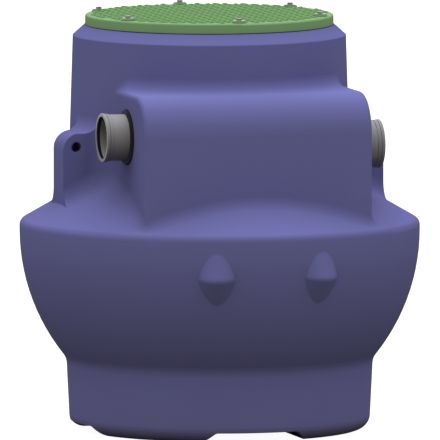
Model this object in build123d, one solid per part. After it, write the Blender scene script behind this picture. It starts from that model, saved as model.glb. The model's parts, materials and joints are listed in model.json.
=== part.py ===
from build123d import *
import os
from math import asin, cos, radians, sin, sqrt, tan

# Moulded tank: a round bowl on a skirt, with a sloping shoulder.
# The origin is on the bowl's axis, at the ground. +Z is up, -Y is the front, and water runs
# from the inlet on -X to the outlet on +X. In plan the tank keeps its proportions to the bowl,
# and everything above the shoulder stands on its rim.
WALL = 8.0
BOWL_RADIUS = 520.0
PLAN = BOWL_RADIUS / 520.0
SHOULDER_ANGLE = 30.0
SHOULDER_WALL = 23.5
SHOULDER_RIM_Z = BOWL_RADIUS + SHOULDER_WALL
RIM_ROUND = 20.0
SKIRT_RADIUS = 389.0 * PLAN
SKIRT_DRAFT = 2.9
SKIRT_ROUND = 38.0
WAIST_ROUND = 45.0

# Two crossed channels under the base leave four feet.
CHANNEL_DEPTH = 25.0
CHANNEL_ROOF_WIDTH = 218.0
CHANNEL_MOUTH_WIDTH = 272.0
CHANNEL_ROUND = 14.0

# Access neck, set back from the bowl's axis.
NECK_OFFSET = 104.0 * PLAN
NECK_RADIUS = 355.5 * PLAN
NECK_DRAFT = 1.8
NECK_HEIGHT = 501.0
NECK_TOP_Z = SHOULDER_RIM_Z + NECK_HEIGHT
NECK_EDGE_HEIGHT = 26.5
NECK_EDGE_WIDTH = 29.5
NECK_WALL_TOP_Z = NECK_TOP_Z - NECK_EDGE_HEIGHT
NECK_RIM_RADIUS = NECK_RADIUS - NECK_EDGE_WIDTH
NECK_RIM_WIDTH = 51.0
NECK_ROOT_DEPTH = 43.5
NECK_ROOT_Z = SHOULDER_RIM_Z - NECK_ROOT_DEPTH
NECK_BLEND = 60.0
OPENING_RADIUS = NECK_RIM_RADIUS - NECK_RIM_WIDTH

# Front housing that the pipes enter. Its side edges are rounder inside than outside.
HOUSING_WIDTH = 608.0 * PLAN
HOUSING_SIDE = HOUSING_WIDTH / 2
HOUSING_FRONT = 394.0 * PLAN
HOUSING_HEIGHT = 353.5
HOUSING_TOP_Z = SHOULDER_RIM_Z + HOUSING_HEIGHT
HOUSING_TOP_ROUND = 101.0
HOUSING_EDGE_ROUND = 12.0
HOUSING_INNER_ROUND = 14.0
HOUSING_BLEND = 34.0

# Lifting lugs, one on each side. The round of the outer corner crests just above the flat top.
LUG_PROUD = 74.5 * PLAN
LUG_REACH = NECK_RADIUS + LUG_PROUD
LUG_FRONT = 41.0 * PLAN
LUG_BACK = 60.0 * PLAN
LUG_HEIGHT = 236.5
LUG_TOP_Z = SHOULDER_RIM_Z + LUG_HEIGHT
LUG_ROOT_X = BOWL_RADIUS / 2
LUG_CORNER_ROUND = 45.0
LUG_CREST = 1.5
LUG_HOLE_RADIUS = 13.0
LUG_HOLE_INSET = 35.0
LUG_BLEND = 42.0 * PLAN

# Bumps on the bowl, two in front and two behind, each with a level ridge between two slopes.
WEDGE_TURN = 15.8
WEDGE_DROP = 88.0
WEDGE_Z = BOWL_RADIUS - WEDGE_DROP
WEDGE_UP = 70.0
WEDGE_DOWN = 65.0
WEDGE_HALF_WIDTH = 50.0
WEDGE_RISE = 32.0
WEDGE_ROUND = 16.0
WEDGE_ROOT = 14.0

# Pipe connections for 110 mm drain pipe.
PIPE_Y = -210.0 * PLAN
OUTLET_HEIGHT = 208.5
OUTLET_Z = SHOULDER_RIM_Z + OUTLET_HEIGHT
INLET_DROP = 31.6
INLET_Z = OUTLET_Z + INLET_DROP
PIPE_RADIUS = 55.0
PIPE_WALL = 3.0
PIPE_FIT = 0.3
SOCKET_WALL = 4.7
SOCKET_PROUD = 68.0
SOCKET_DEPTH = 62.0
SOCKET_INSIDE = 54.0
SPIGOT_INSIDE = 98.0
BEAD_RADIUS = 63.8
BEAD_WIDTH = 18.0
BEAD_STEP = 1.2
BEAD_ROUND = 2.0
LIP_GROOVE_DEPTH = 4.5
LIP_GROOVE_WIDTH = 8.0
LIP_GROOVE_SETBACK = 2.5
LIP_FIT = 0.1
TEE_INSIDE = 164.0
TEE_AXIS = HOUSING_SIDE - TEE_INSIDE
TEE_TOP_GAP = 47.0
TEE_TOP_Z = HOUSING_TOP_Z - TEE_TOP_GAP
INLET_BAFFLE_DEPTH = 263.6
INLET_BAFFLE_Z = INLET_Z - INLET_BAFFLE_DEPTH
OUTLET_DIP_Z = 200.0

# Rubber seals where the pipes pass through the housing walls.
SEAL_FLANGE_RADIUS = 72.0
SEAL_PROUD = 7.5
SEAL_SLEEVE = 5.5
SEAL_INNER_FLANGE = 5.0
SEAL_FIT = 0.2
SEAL_ROUND = 6.0

# Lid, its gasket and its six bolts.
LID_INSET = 3.0
LID_RADIUS = NECK_RIM_RADIUS - LID_INSET
LID_HEIGHT = 25.0
LID_PLATE = 6.0
LID_RIM = 6.0
LID_EDGE_ROUND = 4.5
LID_RIB = 5.0
LID_RIB_RINGS = (120.0, 210.0)
LID_SPOKES = 12
LID_SPOKE_INSET = 8.0
GASKET_HEIGHT = 2.0
GASKET_OUTSET = 2.0
GASKET_INSET = 3.0
BOLT_COUNT = 6
BOLT_INSET = 25.0
BOLT_CIRCLE = LID_RADIUS - BOLT_INSET
BOLT_FIRST_ANGLE = 30.0
BOLT_RADIUS = 4.0
BOLT_FLATS = 13.0
BOLT_HEAD_HEIGHT = 5.5
BOLT_CHAMFER = 0.8
BOLT_REACH = 14.0
BOLT_CLEARANCE = 0.5
WASHER_RADIUS = 15.0
WASHER_THICKNESS = 2.0
PAD_RADIUS = 18.0
PAD_HEIGHT = 5.0
PAD_ROUND = 1.5
INSERT_RADIUS = 6.0
INSERT_DEPTH = 18.0
INSERT_FIT = 0.1
THREAD_FIT = 0.1
BOSS_RADIUS = 14.0
BOSS_FLOOR = 5.0

# A cut runs past the face that it opens by OVERCUT. Edges within NEAR of a plane lie in it.
OVERCUT = 1.0
NEAR = 1.0

SHOULDER_SLOPE = tan(radians(SHOULDER_ANGLE))
GASKET_Z = NECK_TOP_Z
LID_Z = GASKET_Z + GASKET_HEIGHT
LID_TOP_Z = LID_Z + LID_HEIGHT
PAD_TOP_Z = LID_TOP_Z + PAD_HEIGHT
HEAD_Z = PAD_TOP_Z + WASHER_THICKNESS
BORE_RADIUS = PIPE_RADIUS + PIPE_FIT
SOCKET_RADIUS = BORE_RADIUS + SOCKET_WALL
SEAL_SLEEVE_RADIUS = SOCKET_RADIUS + SEAL_SLEEVE


def neck_axis(z=0.0):
    return Pos(0, NECK_OFFSET, z)


def nearest_vertex(shape, x, z):
    return min(shape.vertices(), key=lambda v: (v.X - x) ** 2 + (v.Z - z) ** 2)


def round_corner(face, x, z, radius):
    """Rounds one corner of a profile drawn in the XZ plane."""
    return fillet(nearest_vertex(face, x, z), radius)


def bowl_form(inset):
    """Bowl, skirt and shoulder as one turned form, smaller by the inset all over."""
    draft = tan(radians(SKIRT_DRAFT))
    radius = BOWL_RADIUS - inset
    foot = SKIRT_RADIUS - inset / cos(radians(SKIRT_DRAFT))
    # The skirt's straight side meets the sphere where both have the same radius.
    a = 1 + draft**2
    b = 2 * (foot * draft - BOWL_RADIUS)
    c = foot**2 + BOWL_RADIUS**2 - radius**2
    waist_z = (-b - sqrt(b**2 - 4 * a * c)) / (2 * a)
    waist = foot + draft * waist_z
    drop = inset / cos(radians(SHOULDER_ANGLE)) - inset * SHOULDER_SLOPE
    rim_z = SHOULDER_RIM_Z - drop
    apex_z = rim_z + radius * SHOULDER_SLOPE
    floor_foot = foot + draft * inset
    mid = asin((BOWL_RADIUS - waist_z) / radius) / 2
    arc_mid = (radius * cos(mid), BOWL_RADIUS - radius * sin(mid))
    floor = Line((0, inset), (floor_foot, inset))
    side = Line(floor @ 1, (waist, waist_z))
    bowl = ThreePointArc(side @ 1, arc_mid, (radius, BOWL_RADIUS))
    wall = Line(bowl @ 1, (radius, rim_z))
    slope = Line(wall @ 1, (0, apex_z))
    axis = Line(slope @ 1, floor @ 0)
    face = Plane.XZ * make_face(floor + side + bowl + wall + slope + axis)
    face = round_corner(face, floor_foot, inset, SKIRT_ROUND - inset)
    face = round_corner(face, waist, waist_z, WAIST_ROUND + inset)
    face = round_corner(face, radius, rim_z, RIM_ROUND - inset)
    return revolve(face, Axis.Z)


def neck_form(inset):
    """The round neck with its sloping top edge."""
    foot = NECK_RADIUS + (NECK_WALL_TOP_Z - NECK_ROOT_Z) * tan(radians(NECK_DRAFT))
    rise = NECK_TOP_Z - NECK_WALL_TOP_Z
    run = NECK_RADIUS - NECK_RIM_RADIUS
    # An even wall behind the sloping edge lowers it by this much.
    drop = inset * (sqrt(rise**2 + run**2) - rise) / run
    profile = Polyline(
        (0, NECK_ROOT_Z),
        (foot - inset, NECK_ROOT_Z),
        (NECK_RADIUS - inset, NECK_WALL_TOP_Z - drop),
        (NECK_RIM_RADIUS - inset + (inset - drop) * run / rise, NECK_TOP_Z - inset),
        (0, NECK_TOP_Z - inset),
        close=True,
    )
    return neck_axis() * revolve(Plane.XZ * make_face(profile), Axis.Z)


def housing_form(inset):
    """The box in front, with a large round along its top and small rounds at its sides."""
    side = HOUSING_SIDE - inset
    front = inset - HOUSING_FRONT
    top = HOUSING_TOP_Z - inset
    outline = Polyline(
        (front, NECK_ROOT_Z), (front, top), (NECK_OFFSET, top), (NECK_OFFSET, NECK_ROOT_Z), close=True
    )
    face = Plane.YZ * make_face(outline)
    corner = min(face.vertices(), key=lambda v: (v.Y - front) ** 2 + (v.Z - top) ** 2)
    face = fillet(corner, HOUSING_TOP_ROUND - inset)
    block = extrude(face, side, both=True)
    edges = [
        edge
        for edge in block.edges()
        if abs(abs(edge.center().X) - side) < NEAR
        and edge.center().Z > NECK_ROOT_Z + NEAR
        and edge.center().Y < NECK_OFFSET - NEAR
    ]
    return fillet(edges, HOUSING_INNER_ROUND if inset else HOUSING_EDGE_ROUND)


def bowl_reach(z):
    """How far the bowl's surface is from its axis at a height."""
    return sqrt(BOWL_RADIUS**2 - (BOWL_RADIUS - z) ** 2)


def wedge_slope(end_z):
    """A leaning round bar. Its outermost line runs from the ridge to the bowl at the given height."""
    reach = bowl_reach(WEDGE_Z)
    ridge = Vector(0, -reach - WEDGE_RISE, WEDGE_Z)
    end = Vector(0, -bowl_reach(end_z), end_z)
    upward_line = end - ridge if end_z > WEDGE_Z else ridge - end
    rise = WEDGE_RISE + reach - sqrt(reach**2 - WEDGE_HALF_WIDTH**2)
    radius = (WEDGE_HALF_WIDTH**2 + rise**2) / (2 * rise)
    lean = Plane(origin=ridge, x_dir=(1, 0, 0), z_dir=upward_line)
    return lean * Pos(0, radius, 0) * Cylinder(radius, 4 * (WEDGE_UP + WEDGE_DOWN))


def wedge_bump(turn):
    """Where an upper and a lower slope overlap, on a root that follows the bowl."""
    low = WEDGE_Z - WEDGE_DOWN - WEDGE_ROOT
    high = WEDGE_Z + WEDGE_UP + WEDGE_ROOT
    zone = Box(2 * BOWL_RADIUS, 2 * BOWL_RADIUS, high - low)
    zone = Pos(0, -BOWL_RADIUS, (low + high) / 2) * zone
    bump = wedge_slope(WEDGE_Z + WEDGE_UP) & wedge_slope(WEDGE_Z - WEDGE_DOWN) & zone
    bump -= Pos(0, 0, BOWL_RADIUS) * Sphere(BOWL_RADIUS - WEDGE_ROOT)
    ridge = min(bump.edges(), key=lambda edge: (edge @ 0.5).Y)
    return Rot(0, 0, turn) * fillet(ridge, WEDGE_ROUND)


def lug_form(side):
    outline = Polyline(
        (side * LUG_ROOT_X, NECK_ROOT_Z + WALL),
        (side * LUG_REACH, NECK_ROOT_Z + WALL),
        (side * LUG_REACH, LUG_TOP_Z),
        (side * LUG_ROOT_X, LUG_TOP_Z),
        close=True,
    )
    return Pos(0, LUG_BACK, 0) * extrude(Plane.XZ * make_face(outline), LUG_FRONT + LUG_BACK)


def lug_corner(side):
    """What is cut off a lug's outer top corner."""
    crest = LUG_TOP_Z + LUG_CREST
    inner = side * (LUG_REACH - LUG_CORNER_ROUND)
    beyond = side * (LUG_REACH + LUG_CORNER_ROUND)
    foot = crest - LUG_CORNER_ROUND
    arc = RadiusArc((side * LUG_REACH, foot), (inner, crest), -side * LUG_CORNER_ROUND)
    above = crest + LUG_CORNER_ROUND
    rest = Polyline(arc @ 1, (inner, above), (beyond, above), (beyond, foot), arc @ 0)
    block = extrude(Plane.XZ * make_face(arc + rest), LUG_FRONT + LUG_BACK + 2 * LUG_BLEND)
    return Pos(0, LUG_BACK + LUG_BLEND, 0) * block


def channel_form(inset):
    """One rounded channel across the base, along X."""
    roof = CHANNEL_DEPTH + inset
    outline = Polyline(
        (-CHANNEL_MOUTH_WIDTH / 2 - inset, -CHANNEL_DEPTH),
        (-CHANNEL_MOUTH_WIDTH / 2 - inset, 0),
        (-CHANNEL_ROOF_WIDTH / 2 - inset, roof),
        (CHANNEL_ROOF_WIDTH / 2 + inset, roof),
        (CHANNEL_MOUTH_WIDTH / 2 + inset, 0),
        (CHANNEL_MOUTH_WIDTH / 2 + inset, -CHANNEL_DEPTH),
        close=True,
    )
    face = Plane.YZ * make_face(outline)
    corners = [v for v in face.vertices() if v.Z > roof - NEAR]
    face = fillet(corners, CHANNEL_ROUND + inset)
    return extrude(face, BOWL_RADIUS, both=True)


def joined(first, second, blend):
    """Adds a form to another and rounds the inner corner where they meet."""
    whole = first + second
    return fillet(new_edges(first, second, combined=whole), blend)


def moulded_form(inset):
    """Bowl, neck and housing in one, blended together and standing on four feet."""
    form = joined(bowl_form(inset), neck_form(inset), NECK_BLEND + inset)
    form = joined(form, housing_form(inset), HOUSING_BLEND + inset)
    form -= channel_form(inset)
    return form - Rot(0, 0, 90) * channel_form(inset)


def with_lugs(form):
    """The lugs sweep into the neck and shoulder, and their outer ends meet the shoulder in an edge."""
    for side in (-1, 1):
        lug = lug_form(side)
        whole = form + lug
        corners = [
            edge
            for edge in new_edges(form, lug, combined=whole)
            if abs((edge @ 0.5).X) < LUG_REACH - NEAR
        ]
        form = fillet(corners, LUG_BLEND) - lug_corner(side)
    return form


def lug_holes():
    for side in (-1, 1):
        hole = Rot(90, 0, 0) * Cylinder(LUG_HOLE_RADIUS, 2 * LUG_REACH)
        yield Pos(side * (LUG_REACH - LUG_HOLE_INSET), 0, LUG_TOP_Z - LUG_HOLE_INSET) * hole


def pipe_place(side):
    """The middle of a pipe connection where it leaves the housing, with +Z pointing out."""
    z = OUTLET_Z if side > 0 else INLET_Z
    return Pos(side * HOUSING_SIDE, PIPE_Y, z) * Rot(0, side * 90, 0)


def bolt_places(z=0.0):
    for number in range(BOLT_COUNT):
        angle = radians(BOLT_FIRST_ANGLE + number * 360 / BOLT_COUNT)
        x, y = BOLT_CIRCLE * cos(angle), BOLT_CIRCLE * sin(angle)
        yield number + 1, Pos(x, NECK_OFFSET + y, z)


def upward(radius, height):
    """A cylinder that stands on its own origin."""
    return Pos(0, 0, height / 2) * Cylinder(radius, height)


def tube(outer, inner, low, high):
    """A round tube about Z between two heights."""
    return Pos(0, 0, low) * (upward(outer, high - low) - upward(inner, high - low))


def tank_body():
    tank = with_lugs(moulded_form(0))
    for turn in (-WEDGE_TURN, WEDGE_TURN, 180 - WEDGE_TURN, 180 + WEDGE_TURN):
        tank += wedge_bump(turn)
    tank -= moulded_form(WALL)
    tank -= neck_axis(NECK_TOP_Z - 2 * WALL) * upward(OPENING_RADIUS, 3 * WALL)
    for hole in lug_holes():
        tank -= hole
    for side in (-1, 1):
        tank -= pipe_place(side) * Cylinder(SEAL_SLEEVE_RADIUS + SEAL_FIT, 4 * WALL)
    boss_depth = INSERT_DEPTH + BOSS_FLOOR
    for number, place in bolt_places(NECK_TOP_Z - boss_depth):
        tank += place * upward(BOSS_RADIUS, boss_depth)
    for number, place in bolt_places(NECK_TOP_Z - INSERT_DEPTH):
        tank -= place * upward(INSERT_RADIUS + INSERT_FIT, INSERT_DEPTH)
    return tank


def insert_sleeve():
    """A threaded sleeve moulded into a boss under the neck's rim."""
    return tube(INSERT_RADIUS, BOLT_RADIUS + THREAD_FIT, -INSERT_DEPTH, 0)


def bolt_pad():
    """A raised round pad on the lid. It starts inside the lid's plate."""
    pad = upward(PAD_RADIUS, LID_HEIGHT + PAD_HEIGHT)
    pad = fillet(pad.faces().sort_by(Axis.Z)[-1].edges(), PAD_ROUND)
    return pad - upward(PAD_RADIUS + OVERCUT, LID_HEIGHT - LID_PLATE / 2)


def lid():
    outline = Polyline(
        (0, LID_TOP_Z - LID_PLATE),
        (0, LID_TOP_Z),
        (LID_RADIUS, LID_TOP_Z),
        (LID_RADIUS, LID_Z),
        (LID_RADIUS - LID_RIM, LID_Z),
        (LID_RADIUS - LID_RIM, LID_TOP_Z - LID_PLATE),
        close=True,
    )
    face = round_corner(Plane.XZ * make_face(outline), LID_RADIUS, LID_TOP_Z, LID_EDGE_ROUND)
    cover = revolve(face, Axis.Z)
    rib_top = LID_TOP_Z - LID_PLATE
    seat_rib = OPENING_RADIUS + GASKET_OUTSET + LID_RIM
    cover += tube(seat_rib, seat_rib - LID_RIB, LID_Z, rib_top)
    for radius in LID_RIB_RINGS:
        cover += tube(radius, radius - LID_RIB, LID_Z + LID_SPOKE_INSET, rib_top)
    hub = LID_RIB_RINGS[0] - LID_RIB / 2
    reach = LID_RADIUS - LID_RIM / 2
    spoke_height = LID_HEIGHT - LID_PLATE - LID_SPOKE_INSET
    # The spokes run between the bolts.
    for number in range(LID_SPOKES):
        turn = Rot(0, 0, (number + 1 / 2) * 360 / LID_SPOKES)
        spoke = Box(reach - hub, LID_RIB, spoke_height)
        cover += turn * Pos((hub + reach) / 2, 0, rib_top - spoke_height / 2) * spoke
    cover = neck_axis() * cover
    for number, place in bolt_places(LID_Z):
        cover += place * upward(BOSS_RADIUS, LID_HEIGHT - LID_PLATE / 2)
        cover += place * bolt_pad()
    for number, place in bolt_places(LID_Z - OVERCUT):
        cover -= place * upward(BOLT_RADIUS + BOLT_CLEARANCE, LID_HEIGHT + PAD_HEIGHT + 2 * OVERCUT)
    return cover


def lid_gasket():
    inner = OPENING_RADIUS + GASKET_OUTSET
    outer = LID_RADIUS - GASKET_INSET
    gasket = neck_axis() * tube(outer, inner, GASKET_Z, LID_Z)
    for number, place in bolt_places(GASKET_Z - OVERCUT):
        gasket -= place * upward(BOLT_RADIUS + BOLT_CLEARANCE, GASKET_HEIGHT + 2 * OVERCUT)
    return gasket


def washer():
    return tube(WASHER_RADIUS, BOLT_RADIUS + BOLT_CLEARANCE, 0, WASHER_THICKNESS)


def bolt():
    """A hexagon bolt that hangs from the underside of its head."""
    head = extrude(RegularPolygon(BOLT_FLATS / 2, 6, major_radius=False), BOLT_HEAD_HEIGHT)
    corner = BOLT_FLATS / sqrt(3)
    cap = upward(corner, BOLT_HEAD_HEIGHT)
    head = head & chamfer(cap.faces().sort_by(Axis.Z)[-1].edges(), BOLT_CHAMFER)
    shank_length = HEAD_Z - NECK_TOP_Z + BOLT_REACH
    return head + Pos(0, 0, -shank_length) * upward(BOLT_RADIUS, shank_length)


def pipe_seal():
    """A turned rubber ring that grips the housing wall between two flanges."""
    grip = SEAL_SLEEVE_RADIUS
    inner = SOCKET_RADIUS + SEAL_FIT
    outline = Polyline(
        (inner, -WALL - SEAL_FIT - SEAL_INNER_FLANGE),
        (inner, SEAL_PROUD),
        (SEAL_FLANGE_RADIUS, SEAL_PROUD),
        (SEAL_FLANGE_RADIUS, 0),
        (grip, 0),
        (grip, -WALL - SEAL_FIT),
        (SEAL_FLANGE_RADIUS, -WALL - SEAL_FIT),
        (SEAL_FLANGE_RADIUS, -WALL - SEAL_FIT - SEAL_INNER_FLANGE),
        close=True,
    )
    face = round_corner(Plane.XZ * make_face(outline), SEAL_FLANGE_RADIUS, SEAL_PROUD, SEAL_ROUND)
    return revolve(face, Axis.Z)


def socket_pipe():
    """The socket outside the housing, its pipe through the seal and its spigot inside."""
    bead = SOCKET_PROUD - BEAD_WIDTH
    floor = SOCKET_PROUD - SOCKET_DEPTH
    groove_top = SOCKET_PROUD - LIP_GROOVE_SETBACK
    groove_foot = groove_top - LIP_GROOVE_WIDTH
    bore = PIPE_RADIUS - PIPE_WALL
    outline = Polyline(
        (bore, -SPIGOT_INSIDE),
        (bore, floor),
        (BORE_RADIUS, floor),
        (BORE_RADIUS, groove_foot),
        (BORE_RADIUS + LIP_GROOVE_DEPTH, groove_foot),
        (BORE_RADIUS + LIP_GROOVE_DEPTH, groove_top),
        (BORE_RADIUS, groove_top),
        (BORE_RADIUS, SOCKET_PROUD),
        (BEAD_RADIUS, SOCKET_PROUD),
        (SOCKET_RADIUS + BEAD_STEP, bead),
        (SOCKET_RADIUS, bead),
        (SOCKET_RADIUS, -SOCKET_INSIDE),
        (PIPE_RADIUS, -SOCKET_INSIDE),
        (PIPE_RADIUS, -SPIGOT_INSIDE),
        close=True,
    )
    face = round_corner(Plane.XZ * make_face(outline), BEAD_RADIUS, SOCKET_PROUD, BEAD_ROUND)
    return revolve(face, Axis.Z)


def lip_ring():
    """The rubber ring in the socket's groove, level with its bore."""
    high = SOCKET_PROUD - LIP_GROOVE_SETBACK - LIP_FIT
    low = high - LIP_GROOVE_WIDTH + 2 * LIP_FIT
    return tube(BORE_RADIUS + LIP_GROOVE_DEPTH - LIP_FIT, BORE_RADIUS, low, high)


def tee_pipe(side, low_z, axis_z):
    """An upright tee inside the tank, open at its top and foot, pushed onto the spigot."""
    outer = BORE_RADIUS + PIPE_WALL
    branch_length = TEE_INSIDE - SOCKET_INSIDE - PIPE_FIT
    height = TEE_TOP_Z - low_z
    upright = Pos(side * TEE_AXIS, PIPE_Y, low_z) * upward(outer, height)
    bore = Pos(side * TEE_AXIS, PIPE_Y, low_z - OVERCUT) * upward(BORE_RADIUS, height + 2 * OVERCUT)
    start = Pos(side * TEE_AXIS, PIPE_Y, axis_z) * Rot(0, side * 90, 0)
    branch = start * upward(outer, branch_length)
    branch_bore = start * upward(BORE_RADIUS, branch_length + OVERCUT)
    return upright + branch - bore - branch_bore


def write(name, solid):
    export_step(solid, f"parts/{name}.step")


os.makedirs("parts", exist_ok=True)
write("tank_body", tank_body())
write("lid", lid())
write("lid_gasket", lid_gasket())
for number, place in bolt_places(NECK_TOP_Z):
    write(f"bolt_insert_{number}", place * insert_sleeve())
for number, place in bolt_places(PAD_TOP_Z):
    write(f"lid_washer_{number}", place * washer())
for number, place in bolt_places(HEAD_Z):
    write(f"lid_bolt_{number}", place * bolt())
for name, side in (("inlet", -1), ("outlet", 1)):
    write(f"{name}_seal", pipe_place(side) * pipe_seal())
    write(f"{name}_socket", pipe_place(side) * socket_pipe())
    write(f"{name}_lip_ring", pipe_place(side) * lip_ring())
write("inlet_baffle_tee", tee_pipe(-1, INLET_BAFFLE_Z, INLET_Z))
write("outlet_dip_tee", tee_pipe(1, OUTLET_DIP_Z, OUTLET_Z))
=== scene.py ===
# %% [markdown]
# # A grease separator, dressed for its picture
# The object is a moulded plastic tank with a bolted green lid. Its construction comes from the
# CAD model, which is already at its real size. This script gives it what a construction model
# leaves out: the finish of each material with painted light and shade in its colour, the
# anti-slip tread on the lid, a dark cord behind each socket's mouth as painted groove shade, plain
# light and a camera. The CAD model is loaded as a fixed frame, and everything new is placed by
# measuring that frame.

# %% Load the frame
import bpy
import json
import math
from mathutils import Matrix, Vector


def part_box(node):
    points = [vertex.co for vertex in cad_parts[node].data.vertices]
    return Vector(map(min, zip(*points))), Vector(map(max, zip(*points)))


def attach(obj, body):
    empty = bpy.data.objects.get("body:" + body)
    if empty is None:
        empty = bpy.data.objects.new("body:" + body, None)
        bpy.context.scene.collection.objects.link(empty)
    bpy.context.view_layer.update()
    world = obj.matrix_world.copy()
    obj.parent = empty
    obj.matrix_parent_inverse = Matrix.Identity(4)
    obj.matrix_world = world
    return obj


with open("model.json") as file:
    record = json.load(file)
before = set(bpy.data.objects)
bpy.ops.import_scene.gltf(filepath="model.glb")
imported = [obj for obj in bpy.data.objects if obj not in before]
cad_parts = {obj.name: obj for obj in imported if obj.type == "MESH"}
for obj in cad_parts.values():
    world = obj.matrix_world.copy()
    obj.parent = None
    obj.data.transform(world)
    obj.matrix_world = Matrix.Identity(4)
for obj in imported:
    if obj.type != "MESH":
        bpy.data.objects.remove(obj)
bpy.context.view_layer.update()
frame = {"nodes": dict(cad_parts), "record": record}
MM = 0.001
BODY = "root"

# %% [markdown]
# ## Building node trees in a script
# Materials and Geometry Nodes are both trees of nodes. They could be wired by hand, one link at a
# time, but each tree would then be a long list of calls. A few small helpers keep them readable.
# The first adds a node and fills in its sockets, and takes either a value or another node's
# output for each of them. A socket can be named by its label or by its number. The others are
# short names for the nodes that every tree here needs.

# %% Helpers for node trees
def add_node(tree, kind, sockets=None, **settings):
    """Adds a node. Each entry of sockets is a value or the output socket that feeds it."""
    node = tree.nodes.new(kind)
    for name, value in settings.items():
        setattr(node, name, value)
    for key, value in (sockets or {}).items():
        if isinstance(value, bpy.types.NodeSocket):
            tree.links.new(value, node.inputs[key])
        else:
            node.inputs[key].default_value = value
    return node


def maths(tree, operation, first, second=0.0):
    """The result of a Math node, which both kinds of tree have."""
    return add_node(tree, "ShaderNodeMath", {0: first, 1: second}, operation=operation).outputs[0]


def multiplied(tree, first, second):
    """One vector times another, such as a tint laid over a colour."""
    sockets = {0: first, 1: second}
    return add_node(tree, "ShaderNodeVectorMath", sockets, operation="MULTIPLY").outputs[0]


def mixed(tree, share, first, second):
    """A mix of two vectors. A Mix node has them in sockets 4 and 5, and their mix in output 1."""
    sockets = {0: share, 4: first, 5: second}
    return add_node(tree, "ShaderNodeMix", sockets, data_type="VECTOR").outputs[1]


def height_of(tree, vector):
    """The Z of a place, a normal or a direction."""
    return add_node(tree, "ShaderNodeSeparateXYZ", {0: vector}).outputs["Z"]


def new_group(name, kind, inputs, outputs):
    """An empty node group with named sockets. Inputs are (name, socket type, default or None)."""
    group = bpy.data.node_groups.new(name, kind)
    for socket_name, socket_type, default in inputs:
        socket = group.interface.new_socket(
            socket_name, in_out="INPUT", socket_type=socket_type
        )
        if default is not None:
            socket.default_value = default
    for socket_name, socket_type in outputs:
        group.interface.new_socket(socket_name, in_out="OUTPUT", socket_type=socket_type)
    return group


# %% [markdown]
# ## The grain of moulded plastic
# Tanks like this are made by turning a hot mould with powder in it. The outer face copies the
# mould: it is even and matt, with a faint pebbled grain, and its colour drifts a little where
# the powder lay thicker. The lid has the same kind of face, and the pipes a finer one. The effect
# could be wired anew in each material, but then a change would have to be made in each as well.
# So it is a node group, built once: it puts out a tint that multiplies the colour, a change in
# roughness, and a height for the bump.

# %% The grain group
DRIFT_SCALE = 5.0
GRAIN_SCALE = 420.0
SPECK_SCALE = 1500.0
DRIFT_DETAIL = 3.0
GRAIN_DETAIL = 2.0
SPECK_DETAIL = 1.0
NOISE_MIDDLE = 0.5
ROUGHNESS_DRIFT = 0.12


def noise(tree, place, scale, detail):
    sockets = {"Vector": place, "Scale": scale, "Detail": detail}
    return add_node(tree, "ShaderNodeTexNoise", sockets).outputs["Fac"]


def swing(tree, pattern, strength):
    """A noise pattern moved to swing round zero, times its strength."""
    centred = maths(tree, "SUBTRACT", pattern, NOISE_MIDDLE)
    return maths(tree, "MULTIPLY", centred, strength)


def grain_group():
    group = new_group(
        "moulded_grain",
        "ShaderNodeTree",
        [
            ("Drift", "NodeSocketFloat", 0.04),
            ("Speck", "NodeSocketFloat", 0.03),
        ],
        [
            ("Tint", "NodeSocketFloat"),
            ("Roughness", "NodeSocketFloat"),
            ("Height", "NodeSocketFloat"),
        ],
    )
    given = group.nodes.new("NodeGroupInput").outputs
    place = group.nodes.new("ShaderNodeTexCoord").outputs["Object"]
    drift = noise(group, place, DRIFT_SCALE, DRIFT_DETAIL)
    speck = noise(group, place, SPECK_SCALE, SPECK_DETAIL)
    grain = noise(group, place, GRAIN_SCALE, GRAIN_DETAIL)
    drift_tint = swing(group, drift, given["Drift"])
    speck_tint = swing(group, speck, given["Speck"])
    tint = maths(group, "ADD", maths(group, "ADD", drift_tint, speck_tint), 1.0)
    rough = swing(group, drift, ROUGHNESS_DRIFT)
    add_node(group, "NodeGroupOutput", {"Tint": tint, "Roughness": rough, "Height": grain})
    return group


GRAIN = grain_group()
print("grain group sockets:", [socket.name for socket in GRAIN.interface.items_tree])

# %% [markdown]
# ## Painted shade in corners and underneath, painted light on tops and near the ground, soft edges
# The colour is made darker where light falls less and lighter where it falls more: painted shade
# in the corners and on undersides, and painted light on what looks up. An Ambient Occlusion node
# finds the corners, where a warm painted shade goes, and the height of the normal tells a top from
# an underside. The higher the power "Level Only", the more level a face must be to get its
# painted light. The lowest 0.2 m get a little painted light too, more so the lower they are.
# Moulded plastic has no sharp edge either, and the Bevel node rounds the last small edges in the
# shading alone. One node group holds it all, with a strength for each.

# %% The painted light and shade group
# Painted shade: the warm colour that corners are tinted toward; white leaves a surface unshaded.
CLEAN = (1.0, 1.0, 1.0)
DIRT = (0.75, 0.68, 0.45)
SPLASH_HEIGHT = 200 * MM


def splash_mask(tree, place):
    """1 at the ground, falling to 0 at the height where the painted light near the ground ends."""
    sockets = {
        "Value": height_of(tree, place),
        "From Min": 0.0,
        "From Max": SPLASH_HEIGHT,
        "To Min": 1.0,
        "To Max": 0.0,
    }
    return add_node(tree, "ShaderNodeMapRange", sockets).outputs[0]


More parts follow.
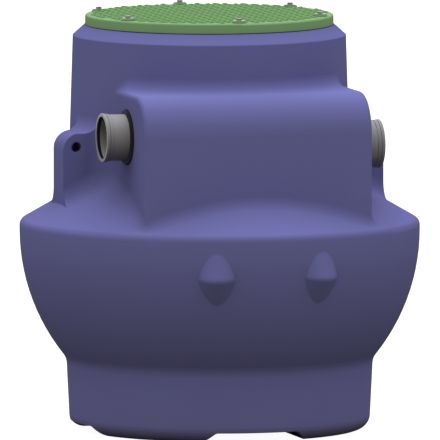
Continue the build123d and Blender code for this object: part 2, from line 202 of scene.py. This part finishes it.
def weathering_group():
    group = new_group(
        "painted_light_and_shade",
        "ShaderNodeTree",
        [
            ("Corners", "NodeSocketFloat", 0.5),
            ("Reach", "NodeSocketFloat", 0.1),
            ("Above", "NodeSocketFloat", 0.1),
            ("Level Only", "NodeSocketFloat", 4.0),
            ("Below", "NodeSocketFloat", 0.1),
            ("Splash", "NodeSocketFloat", 0.0),
            ("Edge", "NodeSocketFloat", 0.004),
        ],
        [("Tint", "NodeSocketVector"), ("Normal", "NodeSocketVector")],
    )
    given = group.nodes.new("NodeGroupInput").outputs
    # Painted shade in corners: the more hidden the AO node finds a point, the warmer and darker its
    # tint.
    occlusion = add_node(group, "ShaderNodeAmbientOcclusion", {"Distance": given["Reach"]})
    hidden = maths(group, "SUBTRACT", 1.0, occlusion.outputs["AO"])
    corner = maths(group, "MULTIPLY", hidden, given["Corners"])
    dirt = mixed(group, corner, CLEAN, DIRT)
    # Painted light on faces that look up, and painted shade on faces that look down.
    looks_up = height_of(group, group.nodes.new("ShaderNodeNewGeometry").outputs["Normal"])
    level = maths(group, "POWER", maths(group, "MAXIMUM", looks_up, 0.0), given["Level Only"])
    dusted = maths(group, "MULTIPLY", level, given["Above"])
    underside = maths(group, "MINIMUM", looks_up, 0.0)
    shaded = maths(group, "MULTIPLY", underside, given["Below"])
    # Painted light on the lowest part of a piece, near the ground.
    place = group.nodes.new("ShaderNodeTexCoord").outputs["Object"]
    splashed = maths(group, "MULTIPLY", splash_mask(group, place), given["Splash"])
    lift = maths(group, "ADD", maths(group, "ADD", dusted, shaded), splashed)
    brightness = maths(group, "ADD", lift, 1.0)
    tint = add_node(
        group, "ShaderNodeVectorMath", {0: dirt, "Scale": brightness}, operation="SCALE"
    ).outputs[0]
    rounded = add_node(group, "ShaderNodeBevel", {"Radius": given["Edge"]}).outputs[0]
    add_node(group, "NodeGroupOutput", {"Tint": tint, "Normal": rounded})
    return group


WEATHERING = weathering_group()
print("weathering group sockets:", [socket.name for socket in WEATHERING.interface.items_tree])

# %% [markdown]
# ## One recipe for every finish
# Every material starts with the same steps: the colour passes through the tint of the grain group
# and the painted light and shade of the other group, so that no surface is one flat value, and
# the grain group makes the roughness uneven. Each material could be wired by itself, but one
# recipe keeps them all of a piece.

# %% The shared recipe
def worn_finish(name, colour, roughness, colour_play, weather):
    """A material with its colour and roughness made, with painted light and shade in its colour.
    Its shader and both groups come with it.
    """
    material = bpy.data.materials.new(name)
    material.use_nodes = True
    tree = material.node_tree
    shader = tree.nodes["Principled BSDF"]
    grain = add_node(tree, "ShaderNodeGroup", colour_play, node_tree=GRAIN)
    worn = add_node(tree, "ShaderNodeGroup", weather, node_tree=WEATHERING)
    tinted = multiplied(tree, grain.outputs["Tint"], colour)
    # Painted light and shade: the tint of the second group is laid over the colour here.
    weathered = multiplied(tree, tinted, worn.outputs["Tint"])
    tree.links.new(weathered, shader.inputs["Base Color"])
    uneven = maths(tree, "ADD", grain.outputs["Roughness"], roughness)
    tree.links.new(uneven, shader.inputs["Roughness"])
    return material, shader, grain, worn


# %% [markdown]
# ## The plastics and the rubber
# The tank and its lid are quite matt, and the pipes and rubber rings have a faint gloss. On top
# of the shared recipe each gets a bump from the grain. It is a tenth of a millimetre at most: on
# a real tank the grain is felt more than seen.

# %% The plastics and the rubber
GRAIN_HEIGHT = 0.1 * MM
PLASTIC_PLAY = {"Drift": 0.05, "Speck": 0.05}


def plastic(name, colour, roughness, grain_strength, gloss, weather):
    material, shader, grain, worn = worn_finish(name, colour, roughness, PLASTIC_PLAY, weather)
    bump = add_node(
        material.node_tree,
        "ShaderNodeBump",
        {
            "Height": grain.outputs["Height"],
            "Distance": GRAIN_HEIGHT,
            "Strength": grain_strength,
            "Normal": worn.outputs["Normal"],
        },
    )
    material.node_tree.links.new(bump.outputs["Normal"], shader.inputs["Normal"])
    shader.inputs["Specular IOR Level"].default_value = gloss
    return material


# Each material's strengths below set its painted shade in corners and underneath and its painted
# light on tops and near the ground.
tank_plastic = plastic(
    "tank_plastic_violet",
    colour=(0.209, 0.209, 0.476),
    roughness=0.5,
    grain_strength=0.5,
    gloss=0.0,
    weather={
        "Corners": 0.8,
        "Reach": 160 * MM,
        "Above": 0.3,
        "Below": 0.45,
        "Splash": 0.26,
        "Edge": 6 * MM,
    },
)
lid_plastic = plastic(
    "lid_plastic_green",
    colour=(0.305, 0.548, 0.238),
    roughness=0.5,
    grain_strength=0.5,
    gloss=0.0,
    weather={"Corners": 1.6, "Reach": 20 * MM, "Above": 0.12, "Below": 0.2, "Edge": 1 * MM},
)
pipe_plastic = plastic(
    "pipe_plastic_grey",
    colour=(0.35, 0.342, 0.318),
    roughness=0.35,
    grain_strength=0.2,
    gloss=0.1,
    weather={
        "Corners": 0.5,
        "Reach": 80 * MM,
        "Above": 0.6,
        "Level Only": 1.0,
        "Below": 0.75,
        "Edge": 1.5 * MM,
    },
)
rubber = plastic(
    "seal_rubber",
    colour=(0.015, 0.015, 0.018),
    roughness=0.6,
    grain_strength=0.6,
    gloss=0.1,
    weather={"Corners": 0.3, "Reach": 20 * MM, "Above": 0.2, "Below": 0.2, "Edge": 1 * MM},
)
print("plastics:", tank_plastic.name, lid_plastic.name, pipe_plastic.name, rubber.name)

# %% [markdown]
# ## The metals
# The lid's bolts and washers are stainless steel, and the sleeves that they screw into are
# brass. A bright mirror finish would be easy, but pickled steel and turned brass are dull: part
# of their light comes back as from a matt surface, so neither is fully metallic here. Their tops
# get a strong painted highlight, and the sides stay grey. That is the same painted light and
# shade group again, with a strength for "Above" that no plastic has.

# %% The metals
METAL_PLAY = {"Drift": 0.04, "Speck": 0.03}
# Painted highlight: a strong lift of the colour on metal faces that look up.
METAL_WEATHER = {"Corners": 0.3, "Reach": 10 * MM, "Above": 3.3, "Edge": 0.6 * MM}


def metal(name, colour, roughness, metallic):
    material, shader, _grain, worn = worn_finish(
        name, colour, roughness, METAL_PLAY, METAL_WEATHER
    )
    material.node_tree.links.new(worn.outputs["Normal"], shader.inputs["Normal"])
    shader.inputs["Metallic"].default_value = metallic
    return material


stainless = metal("stainless_steel", colour=(0.2, 0.2, 0.198), roughness=0.35, metallic=0.35)
brass = metal("turned_brass", colour=(0.16, 0.12, 0.055), roughness=0.32, metallic=0.8)
print("metals:", stainless.name, brass.name)

# %% [markdown]
# ## Dressing the CAD pieces
# Every CAD piece keeps its own shape, and only its material slot is filled. The record of the
# model says which slot each piece uses, so one table from slot to material dresses them all.

# %% Dress the CAD pieces
FINISHES = {
    "tank_plastic": tank_plastic,
    "lid_plastic": lid_plastic,
    "pipe_plastic": pipe_plastic,
    "rubber": rubber,
    "stainless": stainless,
    "brass": brass,
}
for subpart in frame["record"]["subparts"]:
    piece = frame["nodes"][subpart["node"]]
    piece.material_slots[0].material = FINISHES[subpart["material_slot"]]

# %% [markdown]
# ## From a tree to a plain mesh
# What repeats or follows a rule is made by Geometry Nodes. A tree has named inputs for its sizes,
# and ends by turning its copies into real meshes and giving them their material. It runs as a
# modifier on an empty mesh, which is where its inputs get their values. The modifier could stay,
# but a finished piece is easier to check and to hand on as a plain mesh. So its result is kept,
# the modifier is removed, and the piece is set to ride on the tank.

# %% Helpers for grown pieces
def put_out(tree, name, geometry, finish):
    """Ends a tree with real meshes in one finish."""
    solid = add_node(tree, "GeometryNodeRealizeInstances", {"Geometry": geometry}).outputs[0]
    finished = add_node(
        tree, "GeometryNodeSetMaterial", {"Geometry": solid, "Material": finish}
    ).outputs[0]
    add_node(tree, "NodeGroupOutput", {name: finished})


def grown(name, tree, values):
    """Runs a tree on an empty mesh and keeps what it makes as a plain mesh."""
    carrier = bpy.data.objects.new(name, bpy.data.meshes.new(name))
    bpy.context.scene.collection.objects.link(carrier)
    modifier = carrier.modifiers.new(name, "NODES")
    modifier.node_group = tree
    inputs = [item for item in tree.interface.items_tree if item.in_out == "INPUT"]
    sockets = {item.name: item.identifier for item in inputs}
    for socket_name, value in values.items():
        modifier[sockets[socket_name]] = value
    shown = carrier.evaluated_get(bpy.context.evaluated_depsgraph_get())
    mesh = bpy.data.meshes.new_from_object(shown)
    carrier.modifiers.clear()
    carrier.data = mesh
    mesh.name = name
    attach(carrier, BODY)
    print(name, "faces:", len(mesh.polygons))


# %% [markdown]
# ## The anti-slip tread
# The lid carries raised dashes, turned one way and the other in a chequered pattern, so that a
# boot holds on it when it is wet. They could be modelled one by one or with array modifiers, but
# a rule says it all: a grid of points, cut to a circle, kept clear of the bolt pads, with a dash
# on each point turned by whether its row and column add up to an even number. That is what
# Geometry Nodes do well. The dash itself is a stretched cone with its tip cut off, which gives it
# sloping sides and a flat top, like a real chequer plate. It stays a little lower than the bolt
# pads, so that a washer still lies on its own flat face.

# %% Measure the lid
PAD_HEIGHT = 5 * MM
lid_low, lid_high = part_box("lid")
lid_centre = (lid_low + lid_high) / 2
lid_radius = (lid_high.x - lid_low.x) / 2
lid_face = lid_high.z - PAD_HEIGHT
bolt_low, bolt_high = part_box("lid_bolt_1")
bolt_offset = (bolt_low + bolt_high) / 2 - lid_centre
bolt_circle = math.hypot(bolt_offset.x, bolt_offset.y)
bolt_turn = math.atan2(bolt_offset.y, bolt_offset.x)
bolt_count = sum(1 for name in frame["nodes"] if name.startswith("lid_bolt_"))
print("lid radius", lid_radius, "bolts", bolt_count, "on radius", bolt_circle)

# %% Where the dashes stand
def point_grid(tree, given):
    """A square grid of points, as wide as the tread's circle lets it be, with one in the middle."""
    half_rows = maths(tree, "FLOOR", maths(tree, "DIVIDE", given["Radius"], given["Pitch"]))
    steps = maths(tree, "MULTIPLY", half_rows, 2.0)
    rows = maths(tree, "ADD", steps, 1.0)
    span = maths(tree, "MULTIPLY", steps, given["Pitch"])
    sockets = {"Size X": span, "Size Y": span, "Vertices X": rows, "Vertices Y": rows}
    return add_node(tree, "GeometryNodeMeshGrid", sockets).outputs["Mesh"]


def on_a_pad(tree, given, place, far):
    """1 near a bolt. The bolts repeat, so a point is turned back into the first one's sector."""
    sector = maths(tree, "DIVIDE", 2 * math.pi, given["Bolt Count"])
    direction = maths(tree, "ARCTAN2", place["Y"], place["X"])
    angle = maths(tree, "SUBTRACT", direction, given["Bolt Turn"])
    turns = maths(tree, "ROUND", maths(tree, "DIVIDE", angle, sector))
    folded = maths(tree, "SUBTRACT", angle, maths(tree, "MULTIPLY", turns, sector))
    along = maths(tree, "MULTIPLY", far, maths(tree, "COSINE", folded))
    beside = maths(tree, "MULTIPLY", far, maths(tree, "SINE", folded))
    ahead = maths(tree, "SUBTRACT", along, given["Bolt Circle"])
    ahead_squared = maths(tree, "POWER", ahead, 2.0)
    beside_squared = maths(tree, "POWER", beside, 2.0)
    apart = maths(tree, "SQRT", maths(tree, "ADD", ahead_squared, beside_squared))
    return maths(tree, "LESS_THAN", apart, given["Pad Radius"])


def chequered_turn(tree, given, place):
    """An eighth of a turn to the right, or to the left where row and column add up to odd."""
    column = maths(tree, "ROUND", maths(tree, "DIVIDE", place["X"], given["Pitch"]))
    row = maths(tree, "ROUND", maths(tree, "DIVIDE", place["Y"], given["Pitch"]))
    odd = maths(tree, "FLOORED_MODULO", maths(tree, "ADD", column, row), 2.0)
    turn = maths(tree, "SUBTRACT", maths(tree, "MULTIPLY", odd, math.pi / 2), math.pi / 4)
    return add_node(tree, "ShaderNodeCombineXYZ", {"Z": turn}).outputs[0]


# %% The tread's tree
DASH_SIDES = 18
DASH_TOP_SHARE = 0.65


def one_dash(tree, given):
    """A cone of radius 1 and height 1 without its tip, stretched to the size of a dash."""
    block = add_node(
        tree,
        "GeometryNodeMeshCone",
        {
            "Vertices": DASH_SIDES,
            "Radius Top": DASH_TOP_SHARE,
            "Radius Bottom": 1.0,
            "Depth": 1.0,
        },
    ).outputs["Mesh"]
    half_length = maths(tree, "DIVIDE", given["Dash Length"], 2.0)
    half_width = maths(tree, "DIVIDE", given["Dash Width"], 2.0)
    size = add_node(
        tree,
        "ShaderNodeCombineXYZ",
        {"X": half_length, "Y": half_width, "Z": given["Dash Height"]},
    ).outputs[0]
    sockets = {"Geometry": block, "Scale": size}
    return add_node(tree, "GeometryNodeTransform", sockets).outputs[0]


def tread_tree():
    tree = new_group(
        "anti_slip_tread",
        "GeometryNodeTree",
        [
            ("Radius", "NodeSocketFloat", None),
            ("Pitch", "NodeSocketFloat", None),
            ("Dash Length", "NodeSocketFloat", None),
            ("Dash Width", "NodeSocketFloat", None),
            ("Dash Height", "NodeSocketFloat", None),
            ("Pad Radius", "NodeSocketFloat", None),
            ("Bolt Circle", "NodeSocketFloat", None),
            ("Bolt Count", "NodeSocketInt", None),
            ("Bolt Turn", "NodeSocketFloat", None),
            ("Centre", "NodeSocketVector", None),
            ("Finish", "NodeSocketMaterial", None),
        ],
        [("Tread", "NodeSocketGeometry")],
    )
    given = tree.nodes.new("NodeGroupInput").outputs
    spot = tree.nodes.new("GeometryNodeInputPosition").outputs[0]
    place = add_node(tree, "ShaderNodeSeparateXYZ", {0: spot}).outputs
    far = add_node(tree, "ShaderNodeVectorMath", {0: spot}, operation="LENGTH").outputs["Value"]
    outside = maths(tree, "GREATER_THAN", far, given["Radius"])
    unwanted = maths(tree, "MAXIMUM", outside, on_a_pad(tree, given, place, far))
    kept = add_node(
        tree,
        "GeometryNodeDeleteGeometry",
        {"Geometry": point_grid(tree, given), "Selection": unwanted},
        domain="POINT",
    ).outputs[0]
    placed = add_node(
        tree,
        "GeometryNodeInstanceOnPoints",
        {
            "Points": kept,
            "Instance": one_dash(tree, given),
            "Rotation": chequered_turn(tree, given, place),
        },
    ).outputs[0]
    moved = add_node(
        tree, "GeometryNodeTransform", {"Geometry": placed, "Translation": given["Centre"]}
    ).outputs[0]
    put_out(tree, "Tread", moved, given["Finish"])
    return tree


# %% The tread on the lid
TREAD_MARGIN = 18 * MM
grown(
    "lid_tread",
    tread_tree(),
    {
        "Radius": lid_radius - TREAD_MARGIN,
        "Pitch": 23 * MM,
        "Dash Length": 28 * MM,
        "Dash Width": 8.5 * MM,
        "Dash Height": 4 * MM,
        "Pad Radius": 30 * MM,
        "Bolt Circle": bolt_circle,
        "Bolt Count": bolt_count,
        "Bolt Turn": bolt_turn,
        "Centre": (lid_centre.x, lid_centre.y, lid_face),
        "Finish": lid_plastic,
    },
)

# %% [markdown]
# ## A dark cord behind each socket's mouth
# A thin line of shade runs round each socket's bead, as in a shallow groove that the model
# doesn't have. A cord of black rubber stands there as painted shade of that groove. A tree sweeps
# a small circle round a large one. It then stands the ring across the pipe and moves it to its
# place just behind the mouth, so that a little more than half of it is sunk in the bead.

# %% The dark cord's tree
RING_STEPS = 96
CORD_STEPS = 10
ACROSS_THE_PIPE = (0.0, math.pi / 2, 0.0)


def circle(tree, steps, radius):
    sockets = {"Resolution": steps, "Radius": radius}
    return add_node(tree, "GeometryNodeCurvePrimitiveCircle", sockets).outputs[0]


# Painted shade: a black cord standing for the shade of a groove round the bead.
def cap_joint_tree():
    tree = new_group(
        "cap_joint",
        "GeometryNodeTree",
        [
            ("Ring Radius", "NodeSocketFloat", None),
            ("Cord Radius", "NodeSocketFloat", None),
            ("Centre", "NodeSocketVector", None),
            ("Finish", "NodeSocketMaterial", None),
        ],
        [("Joint", "NodeSocketGeometry")],
    )
    given = tree.nodes.new("NodeGroupInput").outputs
    ring = circle(tree, RING_STEPS, given["Ring Radius"])
    cord = circle(tree, CORD_STEPS, given["Cord Radius"])
    swept = add_node(
        tree, "GeometryNodeCurveToMesh", {"Curve": ring, "Profile Curve": cord}
    ).outputs[0]
    stood = add_node(
        tree,
        "GeometryNodeTransform",
        {"Geometry": swept, "Rotation": ACROSS_THE_PIPE, "Translation": given["Centre"]},
    ).outputs[0]
    put_out(tree, "Joint", stood, given["Finish"])
    return tree


# %% Both dark cords
JOINT_SETBACK = 9 * MM
JOINT_SINK = 1.5 * MM
CORD_RADIUS = 0.75 * MM
cap_joint = cap_joint_tree()
# Each cord is painted groove shade just behind a socket's mouth.
for side, inward in (("inlet", 1), ("outlet", -1)):
    pipe_low, pipe_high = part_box(f"{side}_socket")
    pipe_centre = (pipe_low + pipe_high) / 2
    bead_radius = (pipe_high.z - pipe_low.z) / 2
    mouth = pipe_low.x if inward > 0 else pipe_high.x
    grown(
        f"{side}_cap_joint",
        cap_joint,
        {
            "Ring Radius": bead_radius - JOINT_SINK,
            "Cord Radius": CORD_RADIUS,
            "Centre": (mouth + inward * JOINT_SETBACK, pipe_centre.y, pipe_centre.z),
            "Finish": rubber,
        },
    )

# %% [markdown]
# ## The floor
# The picture has a white background. A white floor would throw a lot of light up under the bowl,
# which is dark in the picture. So the floor is a warm grey for light that bounces, and it adds a
# glow of its own that only the camera and reflections see, which brings it up to white. Because
# part of its brightness is still reflected light, it keeps a trace of the tank's soft shadow.

# %% The floor
FLOOR_SIZE = 60000 * MM
FLOOR_BOUNCE = (0.4, 0.37, 0.275, 1.0)
FLOOR_GLOW = 0.95


def seen_directly(tree):
    """1 for what the camera sees, straight or in a reflection or through glass, otherwise 0."""
    path = tree.nodes.new("ShaderNodeLightPath").outputs
    mirrored = maths(tree, "MAXIMUM", path["Is Glossy Ray"], path["Is Transmission Ray"])
    return maths(tree, "MAXIMUM", path["Is Camera Ray"], mirrored)


def floor_material():
    material = bpy.data.materials.new("studio_floor")
    material.use_nodes = True
    tree = material.node_tree
    tree.nodes.clear()
    strength = maths(tree, "MULTIPLY", seen_directly(tree), FLOOR_GLOW)
    matt = add_node(tree, "ShaderNodeBsdfDiffuse", {"Color": FLOOR_BOUNCE}).outputs[0]
    glow = add_node(tree, "ShaderNodeEmission", {"Strength": strength}).outputs[0]
    both = add_node(tree, "ShaderNodeAddShader", {0: matt, 1: glow}).outputs[0]
    add_node(tree, "ShaderNodeOutputMaterial", {"Surface": both})
    return material


def square(name, size, z):
    half = size / 2
    mesh = bpy.data.meshes.new(name)
    corners = [(-half, -half, z), (half, -half, z), (half, half, z), (-half, half, z)]
    mesh.from_pydata(corners, [], [(0, 1, 2, 3)])
    sheet = bpy.data.objects.new(name, mesh)
    bpy.context.scene.collection.objects.link(sheet)
    return sheet


floor = square("studio_floor", FLOOR_SIZE, 0.0)
floor.data.materials.append(floor_material())
print("floor:", floor.name, FLOOR_SIZE, "m wide")

# %% [markdown]
# ## The light
# In the picture the brightness of a face depends on how far it looks up: the lid and the shoulder
# are bright, the walls are darker whichever way they face, and the underside is dark. That is
# the light of a bright ceiling over a dim room. One world with a gradient from floor to ceiling
# gives it, where several lamps would each add a direction of their own. The ceiling is a little
# bluer than the room. The camera and reflections see a plain white backdrop in its place.

# %% The world
SKY_TINT_LOW = (1.0, 0.99, 0.97)
SKY_TINT_HIGH = (0.97, 1.0, 1.16)
SKY_LOW = 0.133
SKY_RISE = 1.4
SKY_FALLOFF = 1.8
BACKDROP = (1.0, 1.0, 1.0, 1.0)


def build_world():
    world = bpy.data.worlds.new("soft_studio")
    bpy.context.scene.world = world
    world.use_nodes = True
    tree = world.node_tree
    tree.nodes.clear()
    seen = seen_directly(tree)
    ray = tree.nodes.new("ShaderNodeTexCoord").outputs["Generated"]
    above = maths(tree, "MAXIMUM", height_of(tree, ray), 0.0)
    rise = maths(tree, "MULTIPLY", maths(tree, "POWER", above, SKY_FALLOFF), SKY_RISE)
    level = maths(tree, "ADD", rise, SKY_LOW)
    tint = mixed(tree, above, SKY_TINT_LOW, SKY_TINT_HIGH)
    light = add_node(tree, "ShaderNodeBackground", {"Color": tint, "Strength": level}).outputs[0]
    backdrop = add_node(
        tree, "ShaderNodeBackground", {"Color": BACKDROP, "Strength": 1.0}
    ).outputs[0]
    either = add_node(tree, "ShaderNodeMixShader", {0: seen, 1: light, 2: backdrop}).outputs[0]
    add_node(tree, "ShaderNodeOutputWorld", {"Surface": either})


build_world()
bpy.context.scene.view_settings.view_transform = "Standard"
print("world:", bpy.context.scene.world.name)

# %% [markdown]
# ## The camera
# The picture has no perspective: it is a product view turned 15 degrees and looking 5 degrees
# down. An orthographic camera would do for this one view, but a very long lens comes close and
# still frames any other view well. Through the lens, the lid is seen a little less from above
# than the base, and a third of a degree more of slope shares the error between them. The place
# it looks at is found from the scale of the picture, 2.6 mm for each of its 440 pixels.

# %% The camera
AZIMUTH = math.radians(-15)
ELEVATION = math.radians(5.35)
PIXEL = 2.6 * MM
PICTURE = 440
BASE_ROW = 427.8
AXIS_COLUMN = 219.65
LENS = 1700.0
SENSOR = 36.0
CLIP_DISTANCES = 4


def build_camera():
    back = Vector(
        (
            math.sin(AZIMUTH) * math.cos(ELEVATION),
            -math.cos(AZIMUTH) * math.cos(ELEVATION),
            math.sin(ELEVATION),
        )
    )
    right = Vector((math.cos(AZIMUTH), math.sin(AZIMUTH), 0.0))
    up = back.cross(right)
    sideways = (PICTURE / 2 - AXIS_COLUMN) * PIXEL
    upwards = (BASE_ROW - PICTURE / 2) * PIXEL
    aim = right * sideways + up * upwards
    distance = PICTURE * PIXEL * LENS / SENSOR
    camera = bpy.data.cameras.new("product_camera")
    camera.lens = LENS
    camera.sensor_width = SENSOR
    camera.clip_end = CLIP_DISTANCES * distance
    holder = bpy.data.objects.new("product_camera", camera)
    holder.location = aim + back * distance
    holder.rotation_euler = (-back).to_track_quat("-Z", "Y").to_euler()
    bpy.context.scene.collection.objects.link(holder)
    bpy.context.scene.camera = holder
    print("camera distance", round(distance, 2))


build_camera()
